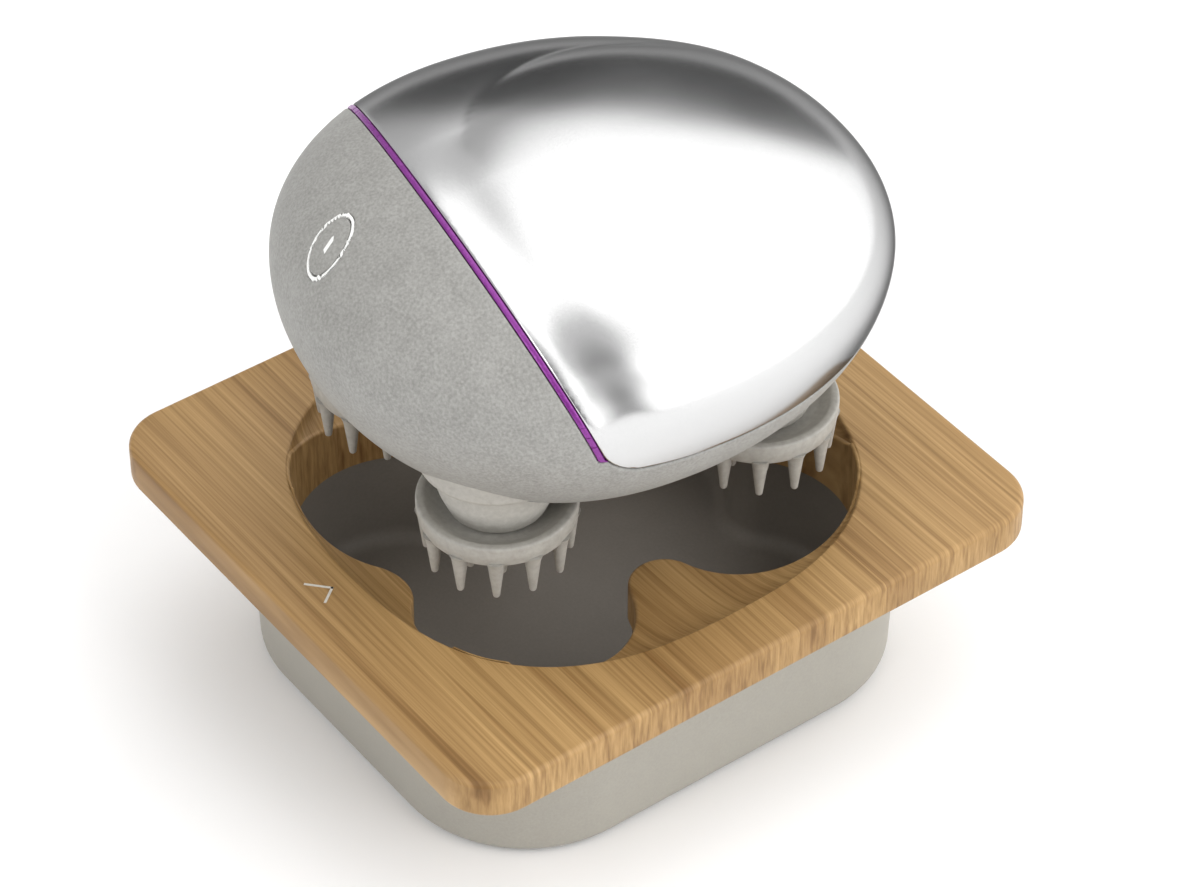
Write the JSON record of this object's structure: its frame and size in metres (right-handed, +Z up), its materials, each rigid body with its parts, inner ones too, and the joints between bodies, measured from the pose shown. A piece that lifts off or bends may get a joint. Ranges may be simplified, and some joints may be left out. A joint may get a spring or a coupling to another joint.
{
  "type": "scalp massager with stand",
  "caption": "Egg-shaped handheld scalp massager with rotating bristle heads, hovering over a bamboo-topped stand with a cloverleaf well.",
  "frame": {"origin": "centre of the stand's footprint, on the surface that it stands on", "axes": "+Z up, -Y towards the side with the power button, +X to the right as seen from that side"},
  "size_m": [0.115, 0.1246, 0.1158],
  "materials": {
    "bamboo": "satin, brown bamboo strips along X",
    "grey_case": "fine matte texture",
    "well_grey": "matte",
    "grey_body": "soft matte, finely mottled",
    "silver": "glossy silver lacquer",
    "purple": "metallic purple lacquer",
    "silicone": "soft matte silicone",
    "white_trim": "satin white",
    "rubber": "matte",
    "switch_black": "matte",
    "nylon": "satin",
    "steel": "turned and zinc plated",
    "board": "solder mask",
    "cell": "shrink sleeve"
  },
  "bodies": {
    "stand": {"bamboo_plate": "bamboo", "stand_box": "grey_case", "well_tray": "well_grey", "stand_foot_1": "rubber", "stand_foot_2": "rubber", "stand_foot_3": "rubber", "stand_foot_4": "rubber"},
    "massager": {"top_shell": "silver", "body_shell": "grey_body", "accent_strip": "purple", "base_plate": "grey_body", "base_gasket": "rubber", "button_ring": "white_trim", "power_switch": "switch_black", "charge_socket": "steel", "circuit_board": "board", "battery_cell": "cell", "gear_deck": "nylon", "motor": "steel", "compound_axle": "steel", "sun_axle": "steel", "base_screw_1": "steel", "base_screw_2": "steel", "base_screw_3": "steel", "base_screw_4": "steel", "head_collar_1": "grey_body", "head_collar_2": "grey_body", "head_collar_3": "grey_body", "head_collar_4": "grey_body", "shaft_seal_1": "rubber", "shaft_seal_2": "rubber", "shaft_seal_3": "rubber", "shaft_seal_4": "rubber"},
    "power_button": {"power_button": "grey_body"},
    "charge_port_plug": {"charge_port_plug": "silicone"},
    "motor_rotor": {"motor_pinion": "steel"},
    "compound": {"compound_gear": "nylon"},
    "sun": {"sun_gear": "nylon"},
    "head_1": {"head_shaft_1": "steel", "head_gear_1": "nylon", "bristle_head_1": "silicone"},
    "head_2": {"head_shaft_2": "steel", "head_gear_2": "nylon", "bristle_head_2": "silicone"},
    "head_3": {"head_shaft_3": "steel", "head_gear_3": "nylon", "bristle_head_3": "silicone"},
    "head_4": {"head_shaft_4": "steel", "head_gear_4": "nylon", "bristle_head_4": "silicone"}
  },
  "joints": [
    {"name": "massager_lift", "type": "slide", "parent": "stand", "child": "massager", "axis": [0, 0, 1], "range_m": [-0.0304, 0.06]},
    {"name": "power_button_press", "type": "slide", "parent": "massager", "child": "power_button", "axis": [0.0906, 0.7376, -0.6691], "range_m": [0, 0.0008], "stiffness_N_per_m": 800},
    {"name": "charge_port_hinge", "type": "hinge", "parent": "massager", "child": "charge_port_plug", "pos_m": [0.00573, 0.0467, 0.0736], "axis": [-0.9925, 0.1219, 0], "range_deg": [0, 55]},
    {"name": "sun_spin", "type": "hinge", "parent": "massager", "child": "sun", "pos_m": [0, 0, 0.0764], "axis": [0, 0, 1], "continuous": true},
    {"name": "compound_spin", "type": "hinge", "parent": "massager", "child": "compound", "pos_m": [0.00378, 0.03077, 0.0785], "axis": [0, 0, 1], "continuous": true},
    {"name": "motor_spin", "type": "hinge", "parent": "massager", "child": "motor_rotor", "pos_m": [0.00134, 0.01092, 0.0834], "axis": [0, 0, 1], "continuous": true},
    {"name": "head_spin_1", "type": "hinge", "parent": "massager", "child": "head_1", "pos_m": [-0.02314, -0.02353, 0.07], "axis": [0, 0, 1], "continuous": true},
    {"name": "head_spin_2", "type": "hinge", "parent": "massager", "child": "head_2", "pos_m": [0.01676, -0.02843, 0.07], "axis": [0, 0, 1], "continuous": true},
    {"name": "head_spin_3", "type": "hinge", "parent": "massager", "child": "head_3", "pos_m": [0.02314, 0.02353, 0.07], "axis": [0, 0, 1], "continuous": true},
    {"name": "head_spin_4", "type": "hinge", "parent": "massager", "child": "head_4", "pos_m": [-0.01676, 0.02843, 0.07], "axis": [0, 0, 1], "continuous": true}
  ],
  "couplings": [
    {"joint": "head_spin_2", "follows": "head_spin_1", "ratio": 1},
    {"joint": "head_spin_3", "follows": "head_spin_1", "ratio": 1},
    {"joint": "head_spin_4", "follows": "head_spin_1", "ratio": 1},
    {"joint": "sun_spin", "follows": "head_spin_1", "ratio": -0.32},
    {"joint": "compound_spin", "follows": "head_spin_1", "ratio": 1.3333},
    {"joint": "motor_spin", "follows": "head_spin_1", "ratio": -4}
  ]
}
